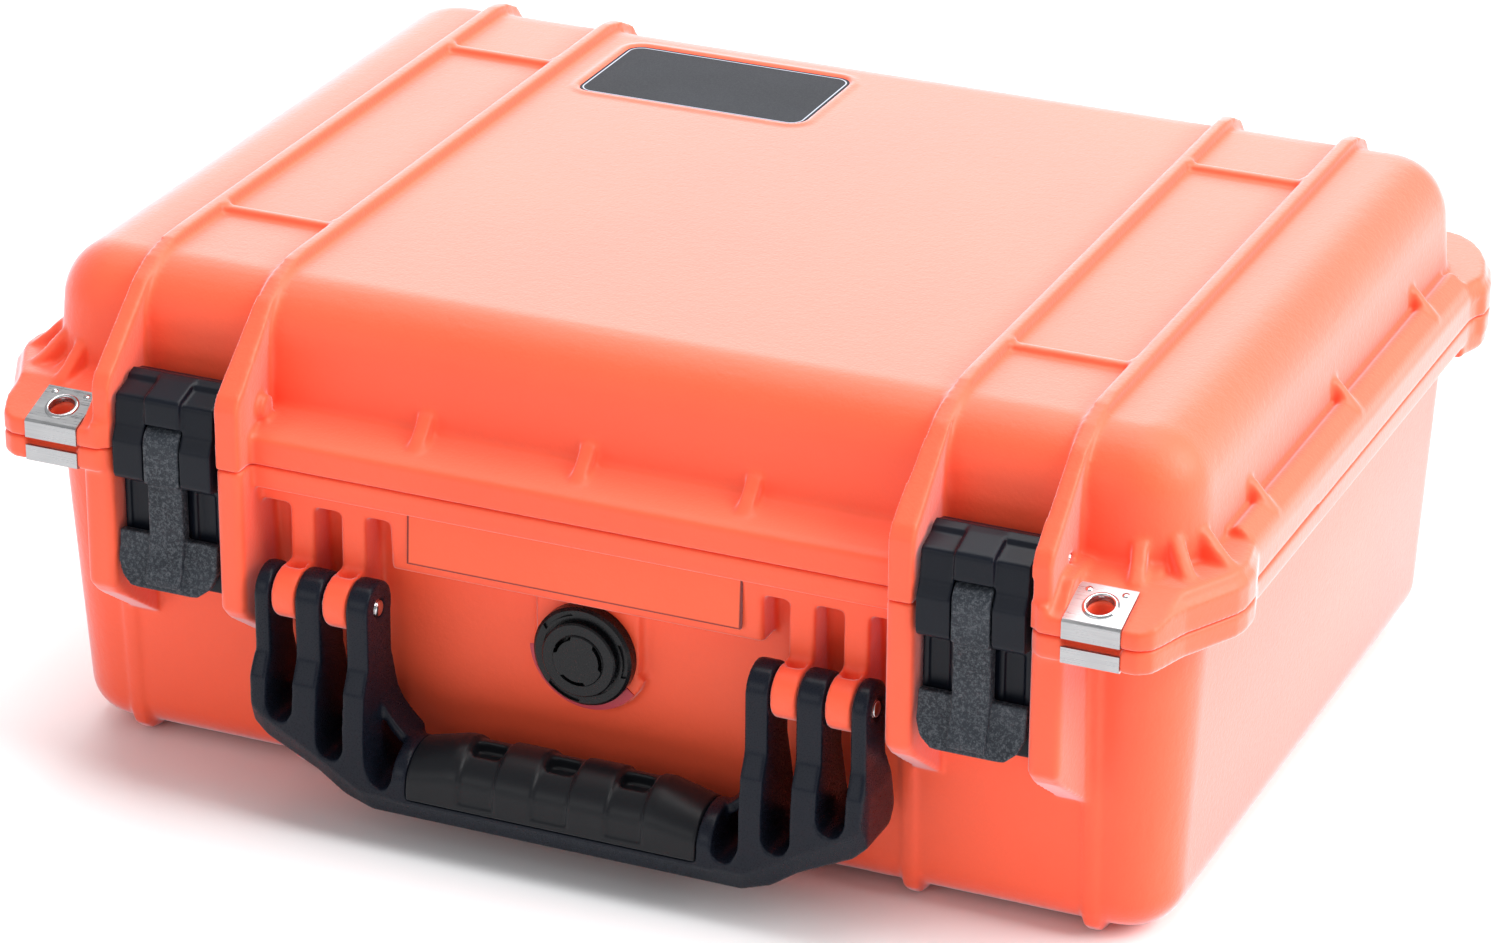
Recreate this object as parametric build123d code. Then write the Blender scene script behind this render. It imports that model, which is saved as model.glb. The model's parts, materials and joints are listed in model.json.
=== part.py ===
from build123d import *
import os
from math import sin, cos, radians, pi, sqrt

os.makedirs("parts", exist_ok=True)

# ---------------------------------------------------------------------------
# Hard equipment case.  Millimetres, +X to the right, +Y to the back (hinges),
# +Z up.  Origin on the ground under the middle of the case.
# ---------------------------------------------------------------------------

# overall
TOTAL_H = 168.0          # ground to the top of the lid ribs
SEAM_Z = 114.8           # parting plane between base and lid
FRONT_Y = 165.0          # frontmost point (handle), and backmost point (hinge)

# tub and lid walls (half sizes, outside)
RIM_X, RIM_Y, RIM_R = 190.0, 135.9, 21.0
BOT_X, BOT_Y, BOT_R = 184.4, 130.8, 17.5
TUB_DY, BOT_DY = 0.3, 1.9   # middle of the tub at the rim and at the floor
FLOOR_Z = 2.6            # underside of the tub; the runners reach the ground
TUB_FILLET = 13.0
CAV_X, CAV_Y, CAV_R = 186.0, 131.9, 17.0     # cavity at the rim
CAVB_X, CAVB_Y, CAVB_R = 180.2, 126.7, 14.0  # cavity at the floor
CAV_FLOOR_Z = 6.6
CAV_FILLET = 8.0

LID_TOP_Z = 164.6
LIDB_X, LIDB_Y, LIDB_R, LIDB_DY = 190.2, 135.4, 21.0, 0.8   # lid wall at the flange
LIDT_X, LIDT_Y, LIDT_R, LIDT_DY = 187.0, 133.5, 20.6, 1.5   # lid at the top, before rounding
LID_FILLET = 19.0
LID_CAV_TOP_Z = 160.4
LID_CAV_FILLET = 15.0

# rim flanges
FL_FRONT, FL_BACK, FL_SIDE = 150.3, 147.6, 199.6
FL_LATCH = 143.0         # flange set back behind the latches
EAR_X, EAR_FRONT = 203.2, 160.9
EAR_BACK = 156.4
FL_BOT_Z = 107.2
FL_TOP_Z = 123.6

# ribs
RIB_IN, RIB_OUT = (105.6, 114.2), (150.4, 160.5)   # front posts, |x|
LRIB_IN, LRIB_OUT = (108.6, 113.2), (151.0, 155.8) # over the lid, |x|
POST_Y = 158.4
FOOT_IN, FOOT_OUT = (100.8, 106.2), (158.6, 164.2)
FOOT_Y = 129.6

# handle
HP_Y, HP_Z, HP_R = -151.8, 75.6, 3.0
ARM_IN, ARM_MID, ARM_OUT = (62.4, 69.7), (78.7, 87.1), (96.1, 101.2)
LUG_A, LUG_B = (70.1, 78.3), (87.5, 95.7)
GRIP_X = 48.4
RUN = 0.06               # radial running clearance of a pin in a moving eye

# latch
LP_Y, LP_Z, LP_R = -141.2, 130.6, 1.7     # latch pin in the lid ribs
VP_Y, VP_Z, VP_R = -154.0, 119.0, 1.5     # lever pin in the latch body
LATCH_X = (115.4, 149.2)
STRAP_X = (126.4, 138.4)

# hinge
HG_Y, HG_Z, HG_R, HG_PIN = 157.2, 114.8, 7.8, 2.4
KN_BASE = [(114.4, 122.4), (128.6, 135.8), (142.0, 150.2)]
KN_LID = [(122.8, 128.2), (136.2, 141.6)]

# padlock eyelets
PAD_X, PAD_Y, PAD_R = 169.7, -153.1, 4.0
PLATE_X = (160.7, 178.6)

# pressure valve
VALVE_Z = 66.5
PAD_FACE_Y = -135.6
VPAD_X = 17.2             # half width of the pad under the valve


# ---------------------------------------------------------------------------
# helpers
# ---------------------------------------------------------------------------
def rr(hx, hy, r):
    return RectangleRounded(2 * hx, 2 * hy, r)


def frustum(b, zb, t, zt, dyb=0.0, dyt=0.0):
    """Solid between two rounded rectangles (half x, half y, corner r)."""
    lo = Pos(0, dyb, zb) * rr(*b)
    hi = Pos(0, dyt, zt) * rr(*t)
    return loft([lo.face(), hi.face()], ruled=True)


def box(x0, x1, y0, y1, z0, z1):
    return Pos((x0 + x1) / 2, (y0 + y1) / 2, (z0 + z1) / 2) * Box(
        abs(x1 - x0), abs(y1 - y0), abs(z1 - z0))


def side_prism(pts, x0, x1):
    """Extrude a (y, z) outline along X from x0 to x1."""
    w = Wire.make_polygon([Vector(0, y, z) for y, z in pts], close=True)
    f = Face(w)
    s = Solid.extrude(f, Vector(x1 - x0, 0, 0))
    return Pos(x0, 0, 0) * s


def plan_prism(pts, z0, z1):
    """Extrude an (x, y) outline along Z from z0 to z1."""
    w = Wire.make_polygon([Vector(x, y, 0) for x, y in pts], close=True)
    return Pos(0, 0, z0) * Solid.extrude(Face(w), Vector(0, 0, z1 - z0))


def front_prism(pts, y0, y1):
    """Extrude an (x, z) outline along Y from y0 to y1."""
    w = Wire.make_polygon([Vector(x, 0, z) for x, z in pts], close=True)
    return Pos(0, y0, 0) * Solid.extrude(Face(w), Vector(0, y1 - y0, 0))


def rod(r, x0, x1, y, z):
    """Cylinder along X."""
    return Pos((x0 + x1) / 2, y, z) * (Rot(0, 90, 0) * Cylinder(r, abs(x1 - x0)))


def rod_y(r, y0, y1, x, z):
    return Pos(x, (y0 + y1) / 2, z) * (Rot(90, 0, 0) * Cylinder(r, abs(y1 - y0)))


def both(s):
    return [s, mirror(s, Plane.YZ)]


def soft(s, edges, r):
    """Fillet as many of the edges as will take it, largest radius first."""
    edges = list(edges)
    if not edges:
        return s
    for k in (1.0, 0.8, 0.6, 0.4):
        try:
            out = fillet(edges, r * k)
            if out.is_valid and out.volume > 0:
                return out
        except Exception:
            pass
    print("fillet skipped", r, len(edges))
    return s


def solid(s):
    """One clean Part from a shape."""
    sols = s.solids()
    if len(sols) == 1:
        return sols[0]
    return Compound(children=list(sols))


def cut(a, *bs):
    for b in bs:
        a = a - b
    return a


def fuse(a, *bs):
    for b in bs:
        a = a + b
    return a


def along_x(e):
    d = e @ 1 - e @ 0
    return abs(d.Y) < 1e-4 and abs(d.Z) < 1e-4 and e.geom_type == GeomType.LINE


def along_z(e):
    d = e @ 1 - e @ 0
    return abs(d.Y) < 1e-4 and abs(d.X) < 1e-4 and e.geom_type == GeomType.LINE


def along_y(e):
    d = e @ 1 - e @ 0
    return abs(d.Z) < 1e-4 and abs(d.X) < 1e-4 and e.geom_type == GeomType.LINE


# ---------------------------------------------------------------------------
# rim flange: plan outline with padlock ears, latch set-backs and side bulges
# ---------------------------------------------------------------------------
half = [
    (0, -FL_FRONT), (RIB_IN[0], -FL_FRONT), (RIB_IN[1] - 0.2, -FL_FRONT),
    (RIB_IN[1] - 0.2, -FL_LATCH), (RIB_OUT[0] + 0.2, -FL_LATCH),
    (RIB_OUT[0] + 0.2, -EAR_FRONT + 3.2), (RIB_OUT[0] + 3.4, -EAR_FRONT),
    (183.6, -EAR_FRONT), (187.6, -158.4), (189.4, -153.6), (192.4, -144.0),
    (202.0, -125.4), (EAR_X, -120.6), (EAR_X, -113.6), (FL_SIDE, -101.0),
    (FL_SIDE + 0.6, 110.0), (201.0, 114.4), (EAR_X, 117.4), (EAR_X, 122.0), (202.4, 126.4),
    (199.6, 135.4), (195.8, 143.4), (191.2, 149.8), (185.4, 154.4), (179.0, EAR_BACK),
    (166.4, EAR_BACK), (163.0, FL_BACK), (0, FL_BACK),
]
outline = half + [(-x, y) for x, y in reversed(half[1:-1])]


def flange(z0, z1):
    s = plan_prism(outline, z0, z1)
    vs = [e for e in s.edges() if along_z(e)]
    big, mid = [], []
    for e in vs:
        p = e @ 0
        ax, y = abs(p.X), p.Y
        if ax > 186 and y < 0:
            big.append(e)
    return soft(s, big, 3.0)


# ---------------------------------------------------------------------------
# base shell
# ---------------------------------------------------------------------------
tub = frustum((BOT_X, BOT_Y, BOT_R), FLOOR_Z, (RIM_X, RIM_Y, RIM_R), FL_BOT_Z + 1.0, BOT_DY, TUB_DY)
tub = soft(tub, tub.faces().sort_by(Axis.Z)[0].edges(), TUB_FILLET)

fl_b = flange(FL_BOT_Z, SEAM_Z)
low = [e for e in fl_b.faces().sort_by(Axis.Z)[0].edges()]
fl_b = soft(fl_b, low, 1.4)

base = fuse(tub, fl_b)

# the flange deepens under the back ears and runs into the wall along the sides
ear_u = [(182.0, 106.0), (FL_SIDE, 106.0), (FL_SIDE + 0.6, 110.0), (EAR_X - 0.6, 117.4), (EAR_X - 0.6, 122.0), (201.6, 126.2),
         (198.8, 135.0), (195.0, 142.8), (190.4, 149.0), (184.8, 153.4), (178.8, EAR_BACK - 1.0), (168.0, EAR_BACK - 1.0), (164.0, 136.0), (164.0, 120.0)]
eu = plan_prism(ear_u, 102.4, 109.0)
eu = soft(eu, eu.faces().sort_by(Axis.Z)[0].edges(), 3.0)
for l in both(eu):
    base = base + l
for sx in (1, -1):
    base = base + front_prism([(sx * x, z) for x, z in ((186, 108.6), (FL_SIDE - 1.6, 108.6), (FL_SIDE - 2.4, 106.4), (190.6, 101.6), (186, 99.0))],
                              -100.0, 107.0)

# apron and header strip below the front flange
apron = side_prism([(-125, 86.0), (-144.9, 86.0), (-146.2, 107.6), (-125, 107.6)], -61.6, 61.6)
apron = soft(apron, [e for e in apron.edges() if abs((e @ 0.5).Y + 144.9) < 0.1 or
                     (abs(abs((e @ 0.5).X) - 61.6) < 0.1 and (e @ 0.5).Y < -144.5)], 1.2)
header = side_prism([(-125, 101.6), (-145.3, 101.6), (-146.2, 107.6), (-125, 107.6)], -106.5, 106.5)
base = fuse(base, apron, header)

# lugs that carry the handle: web from the header down to a round barrel
lug_pts = [(-125, 102.5), (-145.3, 102.5), (-145.9, 83.7),
           (-153.0, 83.7), (-151.8, 75.6), (-149.0, 68.0), (-143.0, 66.5), (-127.0, 64.0)]
for x0, x1 in (LUG_A, LUG_B):
    lug = side_prism(lug_pts, x0, x1)
    lug = lug + rod(8.2, x0, x1, HP_Y, HP_Z)
    # square core-out on top of the barrel
    lug = lug - box(x0 + 1.4, x1 - 1.4, -151.4, -146.6, 80.1, 90.0)
    for l in both(lug):
        base = base + l

# front posts either side of each latch, tapering back into the wall
post_pts = [(-125, SEAM_Z), (-POST_Y, SEAM_Z), (-POST_Y, 68.0), (-155.0, 64.2), (-125, 43.0)]
for (x0, x1) in (RIB_IN, RIB_OUT):
    post = side_prism(post_pts, x0, x1)
    post = soft(post, [e for e in post.edges() if (e @ 0.5).Y < -140 and not along_x(e)
                       and (e @ 0.5).Z < SEAM_Z - 1], 2.2)
    for l in both(post):
        base = base + l

# catch shelf under each latch hook
shelf = side_prism([(-127, 86), (-146.0, 84.6), (-147.2, 83.4), (-147.2, 77.0), (-146.2, 76.0), (-127, 70)],
                   RIB_IN[1] - 1, RIB_OUT[0] + 1)
for l in both(shelf):
    base = base + l

# runners: down the front wall, under the floor as feet and up the back wall
for (x0, x1) in (FOOT_IN, FOOT_OUT):
    o = [(-FOOT_Y - 7.4, 108.0), (-FOOT_Y - 0.4, 10.0), (-FOOT_Y + 1.4, 4.6), (-FOOT_Y + 5.4, 1.3), (-FOOT_Y + 11.6, 0.0),
         (FOOT_Y - 10.6, 0.0), (FOOT_Y - 4.4, 1.3), (FOOT_Y - 0.2, 4.6), (FOOT_Y + 1.6, 10.0), (FOOT_Y + 8.2, 108.0)]
    i = [(CAVB_Y + 7.4, 108.0), (CAVB_Y + 1.0, 14.0), (CAVB_Y - 9.0, 5.0), (-CAVB_Y + 9.0, 5.0),
         (-CAVB_Y - 1.0, 14.0), (-CAVB_Y - 6.6, 108.0)]
    run = side_prism(o + i, x0, x1)
    run = soft(run, [e for e in run.edges() if not along_x(e) and
                     (abs((e @ 0.5).Y) > FOOT_Y - 8 or (e @ 0.5).Z < 1.6)
                     and abs((e @ 0.5).Z - 108) > 0.5], 1.6)
    for l in both(run):
        base = base + l

# back posts and hinge brackets
bpost = [(125, SEAM_Z - 3), (FL_BACK + 4.0, SEAM_Z - 3.0), (FL_BACK + 4.0, 84.0), (125, 58.0)]
for (x0, x1) in ((105.6, 113.2), (151.4, 159.0)):
    post = side_prism(bpost, x0, x1)
    post = soft(post, [e for e in post.edges() if (e @ 0.5).Y > 140 and not along_x(e)], 1.8)
    for l in both(post):
        base = base + l
kb = [(130, 113.0), (HG_Y, 113.0), (HG_Y + HG_R * cos(radians(25)), HG_Z - HG_R * sin(radians(25))),
      (FL_BACK + 4.0, 92.0), (130, 74.0)]
for (x0, x1) in KN_BASE:
    k = side_prism(kb, x0, x1) + rod(HG_R, x0, x1, HG_Y, HG_Z)
    for l in both(k):
        base = base + l

# pad that carries the valve
pad = front_prism([(-VPAD_X, 87.5), (-VPAD_X, VALVE_Z), (VPAD_X, VALVE_Z), (VPAD_X, 87.5)], PAD_FACE_Y, -127.0)
pad = pad + rod_y(VPAD_X, PAD_FACE_Y, -127.0, 0, VALVE_Z)
pad = pad + (rod_y(19.8, PAD_FACE_Y, -127.0, 0, VALVE_Z) & box(-25, 25, -140, -120, 40, 60.5))
base = base + pad

# cavity
cav = frustum((CAVB_X, CAVB_Y, CAVB_R), CAV_FLOOR_Z, (CAV_X, CAV_Y, CAV_R), SEAM_Z + 0.5, BOT_DY - 0.2, TUB_DY)
cav = soft(cav, cav.faces().sort_by(Axis.Z)[0].edges(), CAV_FILLET)
base = base - cav
# inner boss that gives the valve nut a flat seat
boss = rod_y(14.0, -131.0, -123.65, 0, VALVE_Z)
base = base + boss

# sealing bead that presses the ring in the lid
bead = Pos(0, 0, SEAM_Z - 2.0) * extrude(rr(194.6, 138.2, 24.4) - rr(192.4, 136.0, 22.2), 2.6)
base = base + bead

# bores and pockets
for sx in (1, -1):
    base = base - rod(HP_R + RUN, sx * 60, sx * 104, HP_Y, HP_Z)
    base = base - rod(HG_PIN, sx * 105.0, sx * 159.6, HG_Y, HG_Z)
    # padlock hole and recess for the plate under and in front of the ear
    base = base - Pos(sx * PAD_X, PAD_Y, 110) * Cylinder(PAD_R, 20)
    x0, x1 = PLATE_X
    rec = box(sx * (x0 - 0.1), sx * (x1 + 0.1), -165, -EAR_FRONT + 1.0, 105, SEAM_Z + 1)
    rec = rec + box(sx * (x0 - 0.1), sx * (x1 + 0.1), -165, -145.2, 105, FL_BOT_Z + 1.0)
    rec = rec + box(sx * (x0 - 0.1), sx * (x1 + 0.1), -165, -157.6, 112.6, SEAM_Z + 1)
    base = base - rec
# valve bore
base = base - rod_y(8.0, -140, -116, 0, VALVE_Z)
# nameplate recess on the sloped apron face
ang = 3.44
NP = Pos(0, -145.62, 101.2) * Rot(-ang, 0, 0)
base = base - (NP * Box(111.0, 1.6, 23.4))

base_shell = solid(base)

nameplate_insert = NP * (Pos(0, 0.0, 0) * Box(110.4, 1.2, 22.8))
nameplate_insert = soft(nameplate_insert, nameplate_insert.faces().sort_by(Axis.Y)[0].edges(), 0.3)

# ---------------------------------------------------------------------------
# lid shell
# ---------------------------------------------------------------------------
lidb = frustum((LIDB_X, LIDB_Y, LIDB_R), SEAM_Z + 1.0, (LIDT_X, LIDT_Y, LIDT_R), LID_TOP_Z, LIDB_DY, LIDT_DY)
lidb = soft(lidb, lidb.faces().sort_by(Axis.Z)[-1].edges(), LID_FILLET)
fl_l = flange(SEAM_Z, FL_TOP_Z)
lid = lidb + fl_l

# the top of the flange rises toward the wall: long strips on the four sides
strip_s = [(186, 122.0), (FL_SIDE, 122.0), (FL_SIDE - 0.4, 125.4), (FL_SIDE - 1.4, 127.4), (193.6, 131.0), (192.0, 130.9),
           (191.0, 129.4), (186, 129.4)]
for sx in (1, -1):
    lid = lid + front_prism([(sx * x, z) for x, z in strip_s], -102.0, 111.0)
strip_f = side_prism([(-131, 122.0), (-FL_FRONT, 122.0), (-FL_FRONT + 0.4, 123.4), (-148.0, 124.6), (-137.6, 127.2), (-134.4, 128.4),
                      (-131, 128.6)], -RIB_IN[1] + 0.2, RIB_IN[1] - 0.2)
strip_b = side_prism([(132, 122.0), (FL_BACK, 122.0), (FL_BACK - 0.5, 123.8), (146.0, 124.8), (139.2, 127.2), (136.4, 128.4),
                      (132, 128.6)], -165.0, 165.0)
lid = fuse(lid, strip_f, strip_b)


def ruled_plan(lo, zl, hi, zh):
    """Solid between two plan outlines with the same number of corners."""
    a = Face(Wire.make_polygon([Vector(x, y, zl) for x, y in lo], close=True))
    b = Face(Wire.make_polygon([Vector(x, y, zh) for x, y in hi], close=True))
    return loft([a, b], ruled=True)


# raised ears at the four corners
ear_f_lo = [(176.0, -EAR_FRONT), (183.6, -EAR_FRONT), (187.4, -158.4), (189.2, -153.6), (192.2, -144.0),
            (201.8, -125.4), (EAR_X - 0.2, -120.6), (EAR_X - 0.2, -113.6), (FL_SIDE, -101.2), (184.0, -101.2)]
ear_f_hi = [(176.0, -158.6), (182.6, -158.6), (185.2, -156.8), (186.8, -152.8), (189.8, -142.9),
            (199.2, -124.6), (200.6, -120.2), (200.6, -114.2), (198.2, -101.2), (184.0, -101.2)]
ear_b_lo = [(184.0, 109.8), (FL_SIDE + 0.6, 109.8), (EAR_X - 0.2, 117.4), (EAR_X - 0.2, 122.0), (202.2, 126.4),
            (199.4, 135.3), (195.6, 143.3), (191.0, 149.6), (185.3, 154.2), (179.0, EAR_BACK - 0.1), (164.0, EAR_BACK - 4.0), (160.0, 134.0)]
ear_b_hi = [(184.0, 109.8), (FL_SIDE - 1.2, 109.8), (200.6, 118.0), (200.6, 121.8), (199.8, 125.8),
            (197.2, 134.4), (193.6, 142.0), (189.2, 148.0), (184.2, 152.0), (178.6, EAR_BACK - 2.6), (166.0, EAR_BACK - 5.0), (160.0, 134.0)]
for lo, hi in ((ear_f_lo, ear_f_hi), (ear_b_lo, ear_b_hi)):
    for sx in (1, -1):
        a = [(sx * x, y) for x, y in lo]
        b = [(sx * x, y) for x, y in hi]
        if sx < 0:
            a.reverse()
            b.reverse()
        lid = lid + ruled_plan(a, 122.0, b, 127.4)

# sloped pads of the padlock ears
slope = 19.0
for sx in (1, -1):
    rampp = side_prism([(-EAR_FRONT, 119.8), (-EAR_FRONT, 120.4), (-145.4, 126.0), (-131.0, 129.5), (-131.0, 119.8)],
                       sx * 158.0, sx * 181.5)
    lid = lid + rampp
    top = side_prism([(-EAR_FRONT - 3, 119.3), (-EAR_FRONT - 3, 140), (-140, 140), (-140, 128.0), (-145.2, 126.0)],
                     sx * 156.4, sx * 192)
    lid = lid - top


# rib outlines over the lid (front and back)
def lid_rib(x0, x1, wf0, wf1, back=False):
    """Rib over the lid.  x0..x1 on top, widening to wf0..wf1 at the post."""
    o = [(-POST_Y, SEAM_Z), (-POST_Y, 135.0), (-156.4, 138.6), (-130.6, 160.6), (-122.0, 164.8),
         (-112.0, TOTAL_H - 0.6), (-104.0, TOTAL_H), (117.0, TOTAL_H), (125.0, TOTAL_H - 1.4),
         (131.4, 163.6), (136.6, 158.0), (150.6, 130.0), (151.0, SEAM_Z + 1.0),
         (129.5, SEAM_Z + 1.0), (129.5, 140.0), (110.0, 160.0), (80.0, 162.6),
         (-80.0, 162.6), (-110.0, 160.0), (-129.5, 140.0), (-129.5, SEAM_Z)]
    s = side_prism(o, min(wf0, x0) - 2, max(wf1, x1) + 2)
    wedge = plan_prism([(wf0, -170), (wf1, -170), (wf1, -152), (x1, -118), (x1, 118), (wf1 - (0.6), 140), (wf1 - 0.6, 170),
                        (wf0 + 0.6, 170), (wf0 + 0.6, 140), (x0, 118), (x0, -118), (wf0, -152)], SEAM_Z - 5, TOTAL_H + 5)
    return s & wedge


ribs = [lid_rib(LRIB_IN[0], LRIB_IN[1], 106.0, 114.2), lid_rib(LRIB_OUT[0], LRIB_OUT[1], 150.4, 156.4)]
for r in ribs:
    r = soft(r, [e for e in r.edges() if (e @ 0.5).Z > 124 and not along_x(e) and
                 ((e @ 0.5).Y < -131 or (e @ 0.5).Z > 163.0 or (e @ 0.5).Y > 131.2)
                 and abs((e @ 0.5).Y) > 0.0], 1.3)
    for l in both(r):
        lid = lid + l

# outer posts merge with the ears below the pin
for l in both(side_prism([(-POST_Y, SEAM_Z), (-POST_Y, 121.0), (-150, 128.6), (-131, 129.5), (-131, SEAM_Z)],
                         RIB_OUT[0], RIB_OUT[1] - 0.1)):
    lid = lid + l

# bosses on the inner ribs, round the ends of the latch pins
for l in both(rod(3.8, 104.3, RIB_IN[0] + 1.0, LP_Y, LP_Z)):
    lid = lid + l

# cross bars between the ribs
for yb in (-79.8, 79.8):
    b = side_prism([(yb - 2.6, 163.0), (yb - 1.5, 166.7), (yb + 1.5, 166.7), (yb + 2.6, 163.0)], 112.0, 152.0)
    for l in both(b):
        lid = lid + l

# gussets between flange and wall
def gusset_y(x, sy):
    d = 0.0 if sy < 0 else 1.4
    g = side_prism([(sy * 132, 122.5), (sy * (146.4 + d * 0.2), 122.5), (sy * (144.6 + d * 0.4), 125.4), (sy * (138.6 + d), 131.0),
                    (sy * (135.6 + d), 134.8), (sy * (133.6 + d), 136.0), (sy * 132, 136.1)], x - 2.5, x + 2.5)
    return soft(g, [e for e in g.edges() if not along_x(e) and (e @ 0.5).Z > 123], 1.7)


def gusset_x(sx, y):
    g = front_prism([(sx * 186, 122.5), (sx * 198.8, 122.5), (sx * 198.6, 127.4), (sx * 194.4, 132.0), (sx * 191.2, 135.6),
                     (sx * 189.2, 137.2), (sx * 186, 137.3)], y - 2.3, y + 2.3)
    return soft(g, [e for e in g.edges() if not along_y(e) and (e @ 0.5).Z > 123], 1.6)


for x in (-54.0, 0.0, 54.0):
    lid = lid + gusset_y(x, -1)
    lid = lid + gusset_y(x, 1)
for y in (-79.8, 0.0, 79.8):
    lid = lid + gusset_x(1, y)
    lid = lid + gusset_x(-1, y)
# corner gussets, square to the rounded corner of the lid
for sx in (1, -1):
    for a in (14, 45, 76):
        g = side_prism([(-18, 122.5), (-31.6, 122.5), (-30.6, 127.6), (-25.6, 131.6),
                        (-21.8, 135.4), (-20.0, 136.8), (-18, 136.9)], -2.4, 2.4)
        g = soft(g, [e for e in g.edges() if not along_x(e) and (e @ 0.5).Z > 123], 1.6)
        lid = lid + Pos(sx * (LIDB_X - LIDB_R), -(LIDB_Y - LIDB_DY - LIDB_R), 0) * (Rot(0, 0, sx * a) * g)

# raised frame round the label, on the lid near the back left
LAB = (-57.0, 87.4)
frame_o = extrude(Pos(LAB[0], LAB[1], LID_TOP_Z - 1.0) * RectangleRounded(85.4, 51.0, 7.6), 1.7)
frame_i = extrude(Pos(LAB[0], LAB[1], LID_TOP_Z - 0.9) * RectangleRounded(82.2, 47.8, 6.0), 5.0)
lid = lid + frame_o
lid = lid - frame_i

# lid hinge knuckles
kl = [(130, 115.6), (HG_Y - 3.0, 115.6), (HG_Y + HG_R * cos(radians(35)), HG_Z + HG_R * sin(radians(35))),
      (150.0, 131.0), (131, 139.0)]
for (x0, x1) in KN_LID:
    k = side_prism(kl, x0, x1) + rod(HG_R, x0, x1, HG_Y, HG_Z)
    for l in both(k):
        lid = lid + l

# cavity
lcav = frustum((CAV_X, CAV_Y - 0.6, CAV_R), SEAM_Z - 0.5, (LIDT_X - 4.0, LIDT_Y - 4.0, LIDT_R - 3.6), LID_CAV_TOP_Z,
               LIDB_DY, LIDT_DY)
lcav = soft(lcav, lcav.faces().sort_by(Axis.Z)[-1].edges(), LID_CAV_FILLET)
lid = lid - lcav

# groove for the sealing ring
groove = Pos(0, 0, SEAM_Z - 1.0) * extrude(rr(196.2, 139.8, 26.0) - rr(190.8, 134.4, 20.6), 6.2)
lid = lid - groove

# the raised top stops either side of each latch
for l in both(box(RIB_IN[1] - 0.2, RIB_OUT[0] + 0.2, -165, -136.0, FL_TOP_Z, 131.0)):
    lid = lid - l

# bores and recesses
for sx in (1, -1):
    lid = lid - rod(LP_R, sx * 107.4, sx * 160.0, LP_Y, LP_Z)
    lid = lid - rod(0.8, sx * 103.0, sx * 108.0, LP_Y, LP_Z)
    lid = lid - rod(HG_PIN + RUN, sx * 105.0, sx * 160.0, HG_Y, HG_Z)
    # clearance round the fixed knuckles
    for (x0, x1) in KN_BASE:
        lid = lid - rod(HG_R + 0.6, sx * (x0 - 0.4), sx * (x1 + 0.4), HG_Y, HG_Z)
    lid = lid - Pos(sx * PAD_X, PAD_Y, 118) * Cylinder(PAD_R, 24)
    x0, x1 = PLATE_X
    rec = side_prism([(-165, SEAM_Z - 1), (-EAR_FRONT + 1.0, SEAM_Z - 1), (-EAR_FRONT + 1.0, 119.36),
                      (-145.2, 124.76), (-145.2, 132), (-165, 132)], sx * (x0 - 0.1), sx * (x1 + 0.1))
    lid = lid - rec
    # the eyelets leave a dark gap at the parting plane
    lid = lid - box(sx * (x0 - 0.1), sx * (x1 + 0.1), -165, -157.6, SEAM_Z - 1, SEAM_Z + 0.9)

lid_shell = solid(lid)

lid_label = extrude(Pos(LAB[0], LAB[1], LID_TOP_Z - 0.9) * RectangleRounded(81.8, 47.4, 5.8), 0.7)

seal_o, seal_i = (195.6, 139.2, 25.4), (191.4, 135.0, 21.2)
lid_seal = Pos(0, 0, SEAM_Z + 1.0) * extrude(rr(*seal_o) - rr(*seal_i), 4.2)
lid_seal = soft(lid_seal, lid_seal.faces().sort_by(Axis.Z)[0].edges(), 1.9)

# ---------------------------------------------------------------------------
# pins
# ---------------------------------------------------------------------------
def pin(r, x0, x1, y, z, ch=0.4):
    p = rod(r, x0, x1, y, z)
    return chamfer(p.edges().filter_by(GeomType.CIRCLE), ch)


hinge_pin_right = pin(HG_PIN, 114.8, 149.8, HG_Y, HG_Z)
handle_pin_right = pin(HP_R, ARM_IN[0] + 0.2, ARM_OUT[1] - 0.3, HP_Y, HP_Z, 0.5)
latch_pin_right = pin(LP_R, 107.6, 156.1, LP_Y, LP_Z, 0.3)
lever_pin_right = pin(VP_R, LATCH_X[0] + 1.0, LATCH_X[1] - 1.0, VP_Y, VP_Z, 0.3)
hinge_pin_left = mirror(hinge_pin_right, Plane.YZ)
handle_pin_left = mirror(handle_pin_right, Plane.YZ)
latch_pin_left = mirror(latch_pin_right, Plane.YZ)
lever_pin_left = mirror(lever_pin_right, Plane.YZ)

# ---------------------------------------------------------------------------
# padlock eyelet plates
# ---------------------------------------------------------------------------
T = 1.2
x0, x1 = PLATE_X
pl = side_prism([(-EAR_FRONT - 0.15, SEAM_Z + 0.2), (-EAR_FRONT - 0.15, 120.4), (-160.2, 121.15), (-145.3, 126.3),
                 (-145.3, 124.9), (-159.9, 119.5), (-EAR_FRONT + 1.0, 119.2), (-EAR_FRONT + 1.0, SEAM_Z + 0.2)], x0, x1)
pl = soft(pl, [e for e in pl.edges() if along_x(e) and (e @ 0.5).Z > 119.8 and (e @ 0.5).Y < -159], 0.5)
pl = pl - Pos(PAD_X, PAD_Y, 118) * Cylinder(PAD_R, 24)
padlock_plate_lid_right = solid(pl)
pb = side_prism([(-EAR_FRONT - 0.15, 112.4), (-EAR_FRONT - 0.15, FL_BOT_Z + 0.2), (-160.0, FL_BOT_Z - 0.2),
                 (-145.3, FL_BOT_Z - 0.2), (-145.3, FL_BOT_Z + 0.98), (-EAR_FRONT + 1.0, FL_BOT_Z + 0.98), (-EAR_FRONT + 1.0, 112.4)], x0, x1)
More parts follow.
